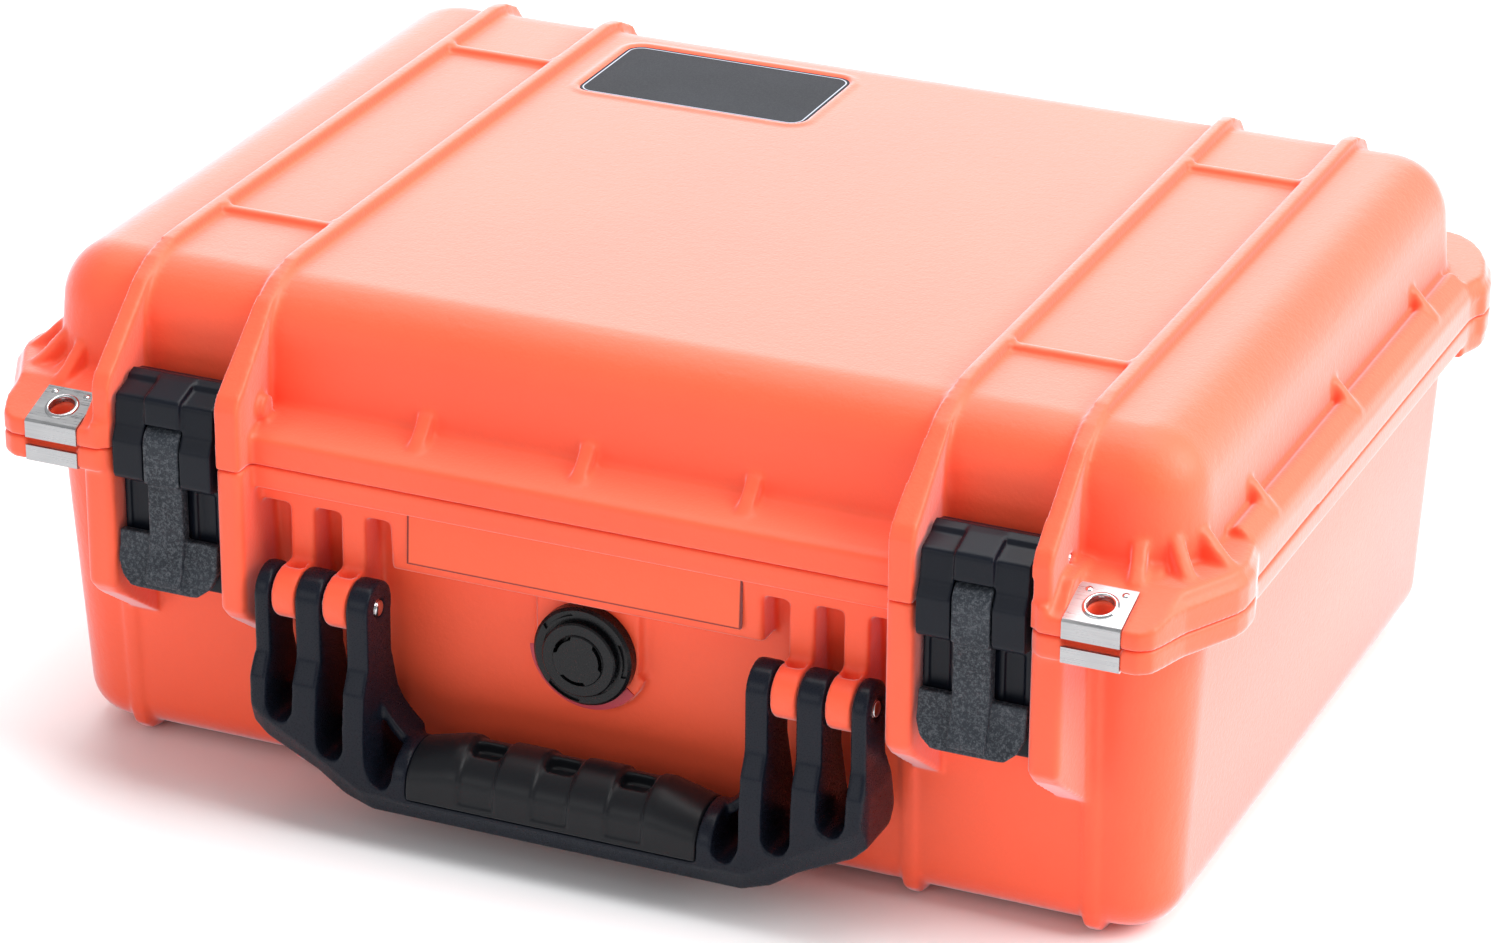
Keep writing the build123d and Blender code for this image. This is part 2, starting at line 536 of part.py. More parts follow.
pb = pb - Pos(PAD_X, PAD_Y, 110) * Cylinder(PAD_R, 24)
padlock_plate_base_right = solid(pb)
padlock_plate_lid_left = mirror(padlock_plate_lid_right, Plane.YZ)
padlock_plate_base_left = mirror(padlock_plate_base_right, Plane.YZ)

# ---------------------------------------------------------------------------
# handle
# ---------------------------------------------------------------------------
# side outline of the arms, from the eye down to the rail
side = [(-160.5, 75.6), (-160.4, 58.0), (-163.8, 50.4), (-FRONT_Y, 40.0), (-FRONT_Y, 8.0), (-138.6, 8.0),
        (-135.2, 13.0), (-133.6, 18.0), (-133.9, 24.0), (-136.4, 31.0), (-138.2, 38.0), (-139.7, 44.6), (-143.9, 59.0), (-143.3, 75.6)]
hs = side_prism(side, -107, 107) + rod(8.7, -107, 107, HP_Y, HP_Z)
# front outline at the face, and at the foot of the bevel that runs round its lower edge
face_half = [(64.0, 18.8), (71.2, 23.3), (80.0, 28.6), (98.0, 38.6), (101.0, 42.0), (101.2, 50.0), (100.4, 58.0), (100.4, 90.0)]
foot_half = [(62.0, 10.7), (71.4, 14.0), (80.4, 20.4), (97.6, 28.7), (102.2, 33.2), (102.5, 50.0), (ARM_OUT[1], 58.0), (ARM_OUT[1], 90.0)]


def outline_face(half_pts, y):
    pts = half_pts + [(-x, z) for x, z in reversed(half_pts)]
    return Face(Wire.make_polygon([Vector(x, y, z) for x, z in pts], close=True))


foot_pts = foot_half + [(-x, z) for x, z in reversed(foot_half)]
blank = front_prism(foot_pts, -160.4, -125)
bevel = loft([outline_face(face_half, -FRONT_Y), outline_face(foot_half, -160.4)], ruled=True)
blank = blank + bevel
# the lower back corner rounds off toward the outer arms
corner_out = [(-151.5, 30.6), (-145.0, 32.9), (-141.6, 34.9), (-139.6, 37.6), (-138.8, 40.6), (-138.3, 44.6), (-124, 44.6), (-124, 4),
              (-151.5, 4)]
corner_in = [(-141.0, 7.6), (-138.4, 7.8), (-135.0, 12.6), (-133.4, 16.4), (-133.1, 20.0), (-133.0, 26.0), (-124, 26.0), (-124, 3),
             (-141.0, 3)]
hf = hs & blank
for sx in (1, -1):
    hf = hf - loft([Face(Wire.make_polygon([Vector(sx * 104.0, y, z) for y, z in corner_out], close=True)),
                    Face(Wire.make_polygon([Vector(sx * 66.0, y, z) for y, z in corner_in], close=True))], ruled=True)
# slots between the arms, round at the bottom, and the wide opening over the grip
slot_a = [(ARM_MID[1], 95), (ARM_MID[1], 41.0), (88.6, 37.6), (91.6, 36.6), (94.6, 37.6), (ARM_OUT[0], 41.0), (ARM_OUT[0], 95)]
slot_b = [(ARM_IN[1], 95), (ARM_IN[1], 31.0), (71.2, 28.0), (74.2, 27.0), (77.2, 28.0), (ARM_MID[0], 31.0), (ARM_MID[0], 95)]
slot_c = [(-2, 95), (-2, 18.8), (53.2, 18.8), (53.2, 24.4), (54.6, 21.6), (57.2, 20.4), (60.0, 21.6), (61.8, 25.4), (ARM_IN[0], 30.0),
          (ARM_IN[0], 95)]
for pts in (slot_a, slot_b, slot_c):
    for sx in (1, -1):
        q = pts if sx == 1 else [(-x, z) for x, z in reversed(pts)]
        hf = hf - front_prism(q, -172, -120)
# grip sections: full in the middle, lower at the ends
gp = [(-FRONT_Y, 18.95), (-164.8, 27.0), (-162.8, 31.6), (-158.6, 35.4), (-153.6, 37.7), (-148.4, 37.5), (-143.0, 34.6),
      (-138.6, 30.0), (-136.2, 25.0), (-135.4, 18.95)]
ge = [(-FRONT_Y, 18.95), (-164.4, 25.4), (-162.2, 29.4), (-158.2, 32.4), (-153.0, 34.0), (-148.0, 33.6), (-143.0, 31.0),
      (-139.0, 27.2), (-136.6, 23.0), (-135.6, 18.95)]


def rounded(pts, k=4):
    """Extra points on a smooth curve through the given ones."""
    out = []
    n = len(pts)
    for i in range(n - 1):
        p0, p1, p2, p3 = pts[max(i - 1, 0)], pts[i], pts[i + 1], pts[min(i + 2, n - 1)]
        for j in range(k):
            t = j / k
            out.append(tuple(0.5 * (2 * b + (c - a) * t + (2 * a - 5 * b + 4 * c - d) * t * t + (3 * b - a - 3 * c + d) * t ** 3)
                             for a, b, c, d in zip(p0, p1, p2, p3)))
    out.append(pts[-1])
    return out


gp, ge = rounded(gp), rounded(ge)


def yz_face(pts, x):
    return Face(Wire.make_polygon([Vector(x, y, z) for y, z in pts], close=True))


def shrink(pts, d):
    """Pull a grip section in by d toward its middle, keeping the flat bottom."""
    out = []
    for y, z in pts:
        vy, vz = y + 150.0, z - 18.95
        n = sqrt(vy * vy + vz * vz)
        out.append((y - d * vy / n, z - d * vz / n if z > 19 else 17.5))
    return out


# core inside the grip, and the cheek at each end with its web to the inner arm
core = box(-GRIP_X - 0.5, GRIP_X + 0.5, -156.5, -141.5, 17.5, 30.0)
hf = hf + core
for sx in (1, -1):
    hf = hf + side_prism([(y, z if z > 19 else 17.5) for y, z in ge], sx * GRIP_X, sx * 53.4)
    web = [(53.0, 29.0), (56.0, 31.2), (59.6, 34.8), (62.8, 40.0), (62.8, 45.4), (60.0, 40.4), (56.4, 36.2), (53.0, 33.0)]
    web = web if sx == 1 else [(-x, z) for x, z in reversed(web)]
    hf = hf + front_prism(web, -152.4, -140.0)
hf = soft(hf, [e for e in hf.edges() if (e @ 0.5).Y < -139 and (e @ 0.5).Y > -157 and abs(abs((e @ 0.5).X) - 101.6) < 2.5
               and (e @ 0.5).Z < 45], 1.0)
for sx in (1, -1):
    hf = hf - rod(HP_R, sx * 60, sx * 104, HP_Y, HP_Z)
handle_frame = solid(hf)

xs = [-GRIP_X + 0.05, -34.0, 34.0, GRIP_X - 0.05]
gr = loft([yz_face(ge, xs[0]), yz_face(gp, xs[1])], ruled=True)
gr = gr + side_prism(gp, xs[1], xs[2])
gr = gr + loft([yz_face(gp, xs[2]), yz_face(ge, xs[3])], ruled=True)
gi = shrink(gp, 1.1)
for xb in (-24.65, 0.0, 24.65):
    band = side_prism([(y - 2 if y < -150 else y + 2, z + 2 if z > 19 else 17) for y, z in gp], xb - 6.05, xb + 6.05)
    gr = gr - (band - side_prism(gi, xb - 6.05, xb + 6.05) - box(-60, 60, -175, -125, 10, 21.2))
    # pocket on top of the band
    gr = gr - Pos(xb, -153.6, 32.6) * extrude(RectangleRounded(10.4, 6.6, 2.4), 12)
gr = gr - box(-GRIP_X - 1, GRIP_X + 1, -156.55, -141.45, 10, 30.05)
handle_grip = solid(gr)

# ---------------------------------------------------------------------------
# latch body and lever (right hand, then mirrored)
# ---------------------------------------------------------------------------
bx0, bx1 = LATCH_X
sx0, sx1 = STRAP_X
shoulder = [(-144.6, 137.4), (-147.6, 136.4), (-148.4, 135.0), (-155.2, 133.0), (-156.0, 132.2), (-157.0, 123.2),
            (-159.4, 118.8), (-159.2, 107.4), (-158.4, 106.0), (-152.6, 104.8), (-152.5, 70.4), (-151.6, 69.4), (-148.0, 69.4),
            (-147.5, 70.2), (-147.5, 75.4), (-149.0, 76.4), (-149.0, 100.0), (-145.4, 105.4), (-145.4, 124.8), (-141.2, 130.6),
            (-141.2, 136.0)]
lb = side_prism(shoulder, bx0, bx1)
lb = lb + rod(5.4, bx0, bx1, LP_Y, LP_Z)
block = side_prism([(-144.6, 137.4), (-148.0, 136.8), (-156.6, 134.2), (-157.8, 133.0), (-157.9, 124.95), (-145.6, 124.95), (-142, 131)],
                   sx0 - 0.1, sx1 + 0.1)
lb = lb + block
lb = soft(lb, [e for e in lb.edges() if along_x(e) and (e @ 0.5).Z > 104 and (e @ 0.5).Y < -155.0 and abs((e@0.5).Z - 124.95) > 0.5], 0.9)
# channel for the lever strap
chan = box(sx0 - 0.4, sx1 + 0.4, -170, -154.0, 60.0, VP_Z + 5.9)
chan = chan + box(sx0 - 0.4, sx1 + 0.4, -170, -152.1, 60.0, VP_Z)
chan = chan + rod(5.9, sx0 - 0.4, sx1 + 0.4, VP_Y, VP_Z)
lb = lb - (chan & box(sx0 - 1, sx1 + 1, -170, -140, 60, VP_Z + 5.92))
lb = lb - rod(LP_R + RUN, bx0 - 1, bx1 + 1, LP_Y, LP_Z)
lb = lb - rod(VP_R, bx0 + 1.0, bx1 - 1.0, VP_Y, VP_Z)
# shallow windows behind the strap, either side
for a, b in ((bx0 + 2.0, sx0 - 2.4), (sx1 + 2.4, bx1 - 2.0)):
    lb = lb - box(a, b, -153.5, -151.4, 80.0, 103.0)
latch_body_right = solid(lb)

strap = side_prism([(-159.5, 119.0), (-159.6, 106.4), (-157.6, 105.2), (-157.6, 88.0), (-158.6, 82.0), (-161.2, 74.6), (-161.0, 72.6),
                    (-158.4, 72.4), (-154.6, 80.0), (-153.2, 88.0), (-153.2, 112.0), (-150.6, 117.0)], sx0, sx1)
strap = strap + rod(5.5, sx0, sx1, VP_Y, VP_Z)
tab_side = side_prism([(-156.0, 87.4), (-156.6, 82.0), (-158.8, 74.0), (-160.2, 70.8), (-158.0, 69.8), (-155.6, 74.0),
                       (-153.4, 82.0), (-153.0, 87.4)], bx0 + 0.1, bx1 + 0.3)
tab_front = [(bx0 + 0.1, 88), (bx0 + 0.1, 78.0), (bx0 + 1.8, 73.6), (bx0 + 5.6, 70.8), (bx0 + 9.0, 70.2), (bx1 - 8.6, 70.2), (bx1 - 5.0, 70.8),
             (bx1 - 1.5, 73.6), (bx1 + 0.3, 78.0), (bx1 + 0.3, 88)]
tab = tab_side & front_prism(tab_front, -170, -150)
lv = strap + tab
lv = lv - rod(VP_R + 0.05, sx0 - 1, sx1 + 1, VP_Y, VP_Z)
latch_lever_right = solid(lv)

latch_body_left = mirror(latch_body_right, Plane.YZ)
latch_lever_left = mirror(latch_lever_right, Plane.YZ)

# ---------------------------------------------------------------------------
# pressure valve
# ---------------------------------------------------------------------------
vb = rod_y(7.8, -139.0, -116.6, 0, VALVE_Z) + rod_y(14.2, -139.0, -136.9, 0, VALVE_Z)
vb = vb - rod_y(5.4, -137.8, -110.0, 0, VALVE_Z)
for a in range(0, 360, 60):
    vb = vb - rod_y(1.0, -143, -134, 3.4 * cos(radians(a)), VALVE_Z + 3.4 * sin(radians(a)))
valve_body = solid(vb)
# knob: rim, stepped-up disc and raised middle
vc = rod_y(16.3, -140.4, -136.0, 0, VALVE_Z)
vc = chamfer(vc.faces().sort_by(Axis.Y)[0].edges(), 0.9)
disc = rod_y(12.2, -142.9, -140.0, 0, VALVE_Z)
disc = chamfer(disc.faces().sort_by(Axis.Y)[0].edges(), 0.5)
mid = rod_y(8.4, -143.5, -142.0, 0, VALVE_Z)
mid = chamfer(mid.faces().sort_by(Axis.Y)[0].edges(), 0.35)
vc = vc - (rod_y(12.9, -141, -139.8, 0, VALVE_Z) - rod_y(12.2, -141, -139.0, 0, VALVE_Z))
vc = vc + disc + mid
vc = vc - rod_y(14.3, -139.05, -130.0, 0, VALVE_Z)
slots = rod_y(8.2, -146, -138, 0, VALVE_Z) - rod_y(7.0, -146, -138, 0, VALVE_Z)
for a in (43, 163, 283):
    slots = slots - (Pos(0, 0, VALVE_Z) * (Rot(0, a, 0) * (Pos(7.5, -142, 0) * Box(15, 14, 7.4))))
vc = vc - slots
for a in (-5, -125, -245):
    arc = rod_y(15.3, -142, -139.6, 0, VALVE_Z) - rod_y(13.7, -142, -139.0, 0, VALVE_Z)
    vc = vc - (arc & (Pos(0, 0, VALVE_Z) * (Rot(0, a, 0) * (Pos(15.0, -140.2, 0) * Box(8.0, 6.0, 11.0)))))
valve_cap = solid(vc)
valve_membrane = rod_y(5.2, -137.7, -137.1, 0, VALVE_Z)
valve_seal = solid(rod_y(12.4, -136.8, PAD_FACE_Y - 0.45, 0, VALVE_Z) - rod_y(8.2, -137, -131, 0, VALVE_Z))
# arc-shaped label under the rim of the knob
lab = rod_y(19.4, PAD_FACE_Y - 0.35, PAD_FACE_Y, 0, VALVE_Z) - rod_y(12.8, -139, -131, 0, VALVE_Z)
lab = lab & front_prism([(0, VALVE_Z + 1.5), (22, VALVE_Z - 17.5), (22, 40), (-24, 40), (-24, VALVE_Z - 1.8)], -140, -130)
valve_label = solid(lab)
nut = Pos(0, -121.2, VALVE_Z) * (Rot(90, 0, 0) * extrude(RegularPolygon(12.0, 6), 2.45, both=True))
nut = nut - rod_y(7.86, -130, -110, 0, VALVE_Z)
valve_nut = solid(nut)

# ---------------------------------------------------------------------------
# export
# ---------------------------------------------------------------------------
nodes = dict(
    base_shell=base_shell, nameplate_insert=nameplate_insert,
    valve_body=valve_body, valve_cap=valve_cap, valve_membrane=valve_membrane, valve_seal=valve_seal,
    valve_nut=valve_nut, valve_label=valve_label,
    padlock_plate_base_left=padlock_plate_base_left, padlock_plate_base_right=padlock_plate_base_right,
    hinge_pin_left=hinge_pin_left, hinge_pin_right=hinge_pin_right,
    lid_shell=lid_shell, lid_seal=lid_seal, lid_label=lid_label,
    padlock_plate_lid_left=padlock_plate_lid_left, padlock_plate_lid_right=padlock_plate_lid_right,
    latch_pin_left=latch_pin_left, latch_pin_right=latch_pin_right,
    handle_frame=handle_frame, handle_grip=handle_grip,
    handle_pin_left=handle_pin_left, handle_pin_right=handle_pin_right,
    latch_body_left=latch_body_left, latch_body_right=latch_body_right,
    latch_lever_left=latch_lever_left, latch_lever_right=latch_lever_right,
    lever_pin_left=lever_pin_left, lever_pin_right=lever_pin_right,
)
for name, shape in nodes.items():
    export_step(shape, "parts/" + name + ".step")
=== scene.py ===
import json
import math

import bmesh
import bpy
import numpy as np
from mathutils import Matrix, Vector


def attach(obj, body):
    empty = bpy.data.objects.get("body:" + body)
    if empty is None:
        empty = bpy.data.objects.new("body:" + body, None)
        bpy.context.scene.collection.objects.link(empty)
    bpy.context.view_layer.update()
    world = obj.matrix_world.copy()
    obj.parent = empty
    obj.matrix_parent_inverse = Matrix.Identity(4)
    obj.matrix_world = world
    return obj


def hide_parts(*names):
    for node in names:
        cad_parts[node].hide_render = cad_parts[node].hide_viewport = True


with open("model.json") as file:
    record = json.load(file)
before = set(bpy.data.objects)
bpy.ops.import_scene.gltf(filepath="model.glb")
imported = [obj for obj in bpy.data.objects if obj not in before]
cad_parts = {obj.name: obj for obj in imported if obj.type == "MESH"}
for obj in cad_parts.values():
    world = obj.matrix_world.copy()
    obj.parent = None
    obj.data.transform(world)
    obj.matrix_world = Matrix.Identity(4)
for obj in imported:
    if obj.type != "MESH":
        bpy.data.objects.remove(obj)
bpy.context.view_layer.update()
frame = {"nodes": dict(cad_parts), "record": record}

MM = 0.001
scene = bpy.context.scene
nodes = frame["nodes"]
body_of_node = {n: b for b, ns in frame["record"]["behaviour"]["bodies"].items() for n in ns}

# ---------------------------------------------------------------------------
# camera
# ---------------------------------------------------------------------------
AZ, EL, ROLL = math.radians(23.3408), math.radians(24.593), math.radians(0.4232)
TARGET = Vector((-4.0743, -3.3, 70.4029)) * MM
DIST = 1768.1424 * MM
back = Vector((math.sin(AZ) * math.cos(EL), -math.cos(AZ) * math.cos(EL), math.sin(EL)))
right = (-back).cross(Vector((0, 0, 1))).normalized()
up = right.cross(-back)
r2 = math.cos(ROLL) * right + math.sin(ROLL) * up
u2 = -math.sin(ROLL) * right + math.cos(ROLL) * up
cam_data = bpy.data.cameras.new("camera")
cam_data.sensor_width = 36.0
cam_data.lens = 5471.181 * 36.0 / 1500.0
cam_data.clip_end = 50.0
cam = bpy.data.objects.new("camera", cam_data)
scene.collection.objects.link(cam)
pos = TARGET + DIST * back
cam.matrix_world = Matrix(((r2.x, u2.x, back.x, pos.x), (r2.y, u2.y, back.y, pos.y),
                           (r2.z, u2.z, back.z, pos.z), (0, 0, 0, 1)))
scene.camera = cam
scene.view_settings.view_transform = "Standard"
scene.view_settings.look = "None"


# ---------------------------------------------------------------------------
# node material helpers
# ---------------------------------------------------------------------------
class Mat:
    def __init__(self, name):
        self.m = bpy.data.materials.new(name)
        self.m.use_nodes = True
        self.nt = self.m.node_tree
        self.nt.nodes.clear()
        self.out = self.nt.nodes.new("ShaderNodeOutputMaterial")
        self.b = self.nt.nodes.new("ShaderNodeBsdfPrincipled")
        self.link(self.b.outputs[0], self.out.inputs[0])
        self.tc = self.nt.nodes.new("ShaderNodeTexCoord").outputs["Object"]

    def link(self, a, b):
        self.nt.links.new(a, b)

    def stretch(self, sx, sy, sz):
        n = self.nt.nodes.new("ShaderNodeMapping")
        n.inputs["Scale"].default_value = (sx, sy, sz)
        self.link(self.tc, n.inputs["Vector"])
        return n.outputs[0]

    def noise(self, scale, detail=2.0, rough=0.5, vec=None, kind="ShaderNodeTexNoise"):
        n = self.nt.nodes.new(kind)
        n.inputs["Scale"].default_value = scale
        if "Detail" in n.inputs:
            n.inputs["Detail"].default_value = detail
            n.inputs["Roughness"].default_value = rough
        self.link(vec if vec is not None else self.tc, n.inputs["Vector"])
        return n.outputs["Fac"] if "Fac" in n.outputs else n.outputs[0]

    def math(self, op, a, b=None, c=None):
        n = self.nt.nodes.new("ShaderNodeMath")
        n.operation = op
        for i, v in enumerate((a, b, c)):
            if v is None:
                continue
            if isinstance(v, (int, float)):
                n.inputs[i].default_value = v
            else:
                self.link(v, n.inputs[i])
        return n.outputs[0]

    def remap(self, v, lo, hi, to_lo, to_hi):
        n = self.nt.nodes.new("ShaderNodeMapRange")
        for i, x in ((1, lo), (2, hi), (3, to_lo), (4, to_hi)):
            n.inputs[i].default_value = x
        self.link(v, n.inputs[0])
        return n.outputs[0]

    def mix(self, fac, a, b):
        n = self.nt.nodes.new("ShaderNodeMix")
        n.data_type = "RGBA"
        if isinstance(fac, (int, float)):
            n.inputs[0].default_value = fac
        else:
            self.link(fac, n.inputs[0])
        for i, c in ((6, a), (7, b)):
            if isinstance(c, tuple):
                n.inputs[i].default_value = (*c, 1.0)
            else:
                self.link(c, n.inputs[i])
        return n.outputs[2]

    def colour(self, c):
        self.link(c, self.b.inputs["Base Color"])

    def rough(self, r):
        if isinstance(r, (int, float)):
            self.b.inputs["Roughness"].default_value = r
        else:
            self.link(r, self.b.inputs["Roughness"])

    def bump(self, height, strength, distance, under=None):
        n = self.nt.nodes.new("ShaderNodeBump")
        n.inputs["Strength"].default_value = strength
        n.inputs["Distance"].default_value = distance
        self.link(height, n.inputs["Height"])
        if under is not None:
            self.link(under, n.inputs["Normal"])
        return n.outputs[0]

    def normal(self, n):
        self.link(n, self.b.inputs["Normal"])

    def level(self, specular=0.5, sheen=0.0, sheen_rough=0.5, metallic=0.0, coat=0.0, coat_rough=0.1):
        self.b.inputs["Specular IOR Level"].default_value = specular
        self.b.inputs["Sheen Weight"].default_value = sheen
        self.b.inputs["Sheen Tint"].default_value = (0.80, 0.90, 1.0, 1.0)
        self.b.inputs["Sheen Roughness"].default_value = sheen_rough
        self.b.inputs["Metallic"].default_value = metallic
        self.b.inputs["Coat Weight"].default_value = coat
        self.b.inputs["Coat Roughness"].default_value = coat_rough


def shell_mat(name, c0, c1, grain, rough0, rough1, depth, rim=None):
    m = Mat(name)
    broad = m.noise(9.0, 3.0, 0.55)
    fine = m.noise(grain, 2.0, 0.6)
    cell = m.noise(grain * 0.45, 1.0, 0.5)
    tone = m.math("ADD", m.math("MULTIPLY", broad, 0.75), m.math("MULTIPLY", fine, 0.25))
    col = m.mix(m.remap(tone, 0.3, 0.7, 0.0, 1.0), c0, c1)
    if rim is not None:
        # painted shade line down both sides and along the bottom of the insert, standing in for the shadow in the seam
        # gap round the flush insert
        hx, z0 = rim
        sep = m.nt.nodes.new("ShaderNodeSeparateXYZ")
        m.link(m.tc, sep.inputs[0])
        side = m.math("SUBTRACT", hx, m.math("ABSOLUTE", sep.outputs[0]))
        foot = m.math("SUBTRACT", sep.outputs[2], z0)
        seam_shade_dist = m.math("MINIMUM", side, foot)
        # dark red painted shade along the insert seam
        col = m.mix(m.remap(seam_shade_dist, 0.00035, 0.0008, 1.0, 0.0), col, (0.16, 0.010, 0.006))
    m.colour(col)
    m.rough(m.remap(fine, 0.3, 0.7, rough0, rough1))
    n1 = m.bump(cell, 0.42, depth * 1.4)
    m.normal(m.bump(fine, 0.6, depth, n1))
    m.level(specular=0.42, sheen=0.90, sheen_rough=0.37)
    return m.m


def black_mat(name, c0, c1, grain, rough0, rough1, depth, strength=0.3, specular=0.5, sheen=0.0, coat=0.0):
    m = Mat(name)
    broad = m.noise(22.0, 3.0, 0.55)
    fine = m.noise(grain, 2.5, 0.6)
    tone = m.math("ADD", m.math("MULTIPLY", broad, 0.5), m.math("MULTIPLY", fine, 0.5))
    m.colour(m.mix(m.remap(tone, 0.35, 0.65, 0.0, 1.0), c0, c1))
    m.rough(m.remap(fine, 0.3, 0.7, rough0, rough1))
    m.normal(m.bump(fine, strength, depth))
    m.level(specular=specular, sheen=sheen, coat=coat, coat_rough=0.35)
    return m.m


def lever_mat(name):
    """Coarse speckled grain of the latch levers."""
    m = Mat(name)
    speck = m.noise(900.0, 3.0, 0.7)
    small = m.noise(2100.0, 2.0, 0.6)
    broad = m.noise(60.0, 2.0, 0.5)
    s = m.math("ADD", m.math("MULTIPLY", speck, 0.65), m.math("MULTIPLY", small, 0.35))
    light = m.remap(s, 0.47, 0.66, 0.0, 1.0)
    body = m.mix(m.remap(broad, 0.35, 0.65, 0.0, 1.0), (0.014, 0.0175, 0.0235), (0.023, 0.028, 0.036))
    m.colour(m.mix(light, body, (0.085, 0.093, 0.105)))
    m.rough(m.remap(s, 0.35, 0.65, 0.62, 0.42))
    n1 = m.bump(speck, 0.55, 0.00022)
    m.normal(m.bump(small, 0.4, 0.0001, n1))
    m.level(specular=0.22)
    return m.m


def steel_mat(name, axis=0, rough0=0.2, rough1=0.36, base=0.66):
    m = Mat(name)
    sc = [2600.0, 2600.0, 2600.0]
    sc[axis] = 60.0
    lines = m.noise(1.0, 2.0, 0.6, m.stretch(*sc))
    smudge = m.noise(120.0, 3.0, 0.55)
    m.colour(m.mix(m.remap(lines, 0.3, 0.7, 0.0, 1.0), (base * 0.9, base * 0.91, base * 0.93), (base * 1.08, base * 1.08, base * 1.09)))
    m.rough(m.math("ADD", m.remap(lines, 0.3, 0.7, rough0, rough1), m.remap(smudge, 0.4, 0.7, -0.03, 0.06)))
    m.normal(m.bump(lines, 0.12, 0.00004))
    m.level(specular=0.5, metallic=1.0)
    return m.m


def label_mat(name):
    """Dark printed plate with a thin pale line just inside its edge."""
    m = Mat(name)
    sep = m.nt.nodes.new("ShaderNodeSeparateXYZ")
    m.link(m.tc, sep.inputs[0])
    cx, cy, hx, hy, r = -0.0570, 0.0874, 0.0396, 0.0224, 0.0045
    qx = m.math("MAXIMUM", m.math("SUBTRACT", m.math("ABSOLUTE", m.math("SUBTRACT", sep.outputs[0], cx)), hx - r), 0.0)
    qy = m.math("MAXIMUM", m.math("SUBTRACT", m.math("ABSOLUTE", m.math("SUBTRACT", sep.outputs[1], cy)), hy - r), 0.0)
    d = m.math("SUBTRACT", m.math("SQRT", m.math("ADD", m.math("MULTIPLY", qx, qx), m.math("MULTIPLY", qy, qy))), r)
    dist = m.math("ABSOLUTE", d)
    line = m.remap(dist, 0.00016, 0.00030, 1.0, 0.0)
    fine = m.noise(2400.0, 1.0, 0.5)
    broad = m.noise(30.0, 2.0, 0.5)
    ground = m.mix(m.remap(broad, 0.35, 0.65, 0.0, 1.0), (0.0085, 0.0105, 0.0155), (0.012, 0.0145, 0.0205))
    m.colour(m.mix(line, ground, (0.42, 0.45, 0.52)))
    m.rough(m.remap(fine, 0.3, 0.7, 0.56, 0.66))
    m.normal(m.bump(fine, 0.1, 0.00003))
    m.level(specular=0.12)
    return m.m


# insert bounds, used for the painted seam shade line in the insert material
ins = np.array([tuple(v.co) for v in nodes["nameplate_insert"].data.vertices])
insert_seam_shade_bounds = (float(ins[:, 0].max()), float(ins[:, 2].min()))
M = {
    "shell_orange": shell_mat("shell_orange", (0.88, 0.088, 0.029), (0.95, 0.106, 0.037), 1100.0, 0.44, 0.56, 0.00010),
    "insert_orange": shell_mat("insert_orange", (0.90, 0.106, 0.037), (0.96, 0.124, 0.045), 1900.0, 0.52, 0.66, 0.00013, insert_seam_shade_bounds),
    "handle_black": black_mat("handle_black", (0.0052, 0.0070, 0.0125), (0.0080, 0.0102, 0.0170), 2300.0, 0.24, 0.34, 0.00003, specular=0.15),
    "grip_rubber": black_mat("grip_rubber", (0.0042, 0.0048, 0.0066), (0.0068, 0.0075, 0.0095), 1900.0, 0.30, 0.42, 0.00004, 0.3, 0.20, sheen=0.03),
    "latch_black": black_mat("latch_black", (0.0034, 0.0048, 0.0088), (0.0058, 0.0076, 0.0132), 2000.0, 0.28, 0.40, 0.00005, specular=0.16),
    "lever_black": lever_mat("lever_black"),
    "valve_black": black_mat("valve_black", (0.0040, 0.0044, 0.0055), (0.0065, 0.0070, 0.0085), 2400.0, 0.24, 0.34, 0.00003, specular=0.22),
    "membrane_white": black_mat("membrane_white", (0.72, 0.72, 0.69), (0.80, 0.80, 0.77), 3000.0, 0.7, 0.85, 0.00005),
    "seal_rubber": black_mat("seal_rubber", (0.012, 0.012, 0.013), (0.020, 0.020, 0.021), 1800.0, 0.6, 0.75, 0.00006, 0.4, 0.4),
    "steel_plate": steel_mat("steel_plate", 0, 0.24, 0.38, 0.36),
    "steel_pin": steel_mat("steel_pin", 0, 0.16, 0.28, 0.6),
    "label_grey": label_mat("label_grey"),
    "ring_label_red": black_mat("ring_label_red", (0.40, 0.012, 0.030), (0.50, 0.018, 0.040), 2400.0, 0.32, 0.42, 0.00003, 0.15),
}
polish = steel_mat("steel_polished", 1, 0.10, 0.18, 0.50)
slot_of = {p["node"]: p["material_slot"] for p in frame["record"]["subparts"]}


def dress(ob, mat):
    ob.data.materials.clear()
    ob.data.materials.append(mat)


for n, ob in nodes.items():
    dress(ob, M[slot_of[n]])


# ---------------------------------------------------------------------------
# mesh helpers
# ---------------------------------------------------------------------------
def new_object(name, verts, faces, smooth=True):
    me = bpy.data.meshes.new(name)
    me.from_pydata([tuple(v) for v in verts], [], [tuple(f) for f in faces])
    me.update()
    if smooth:
        me.polygons.foreach_set("use_smooth", [True] * len(me.polygons))
    ob = bpy.data.objects.new(name, me)
    scene.collection.objects.link(ob)
    return ob


def evaluated_mesh(ob):
    dg = bpy.context.evaluated_depsgraph_get()
    dg.update()
    return bpy.data.meshes.new_from_object(ob.evaluated_get(dg))


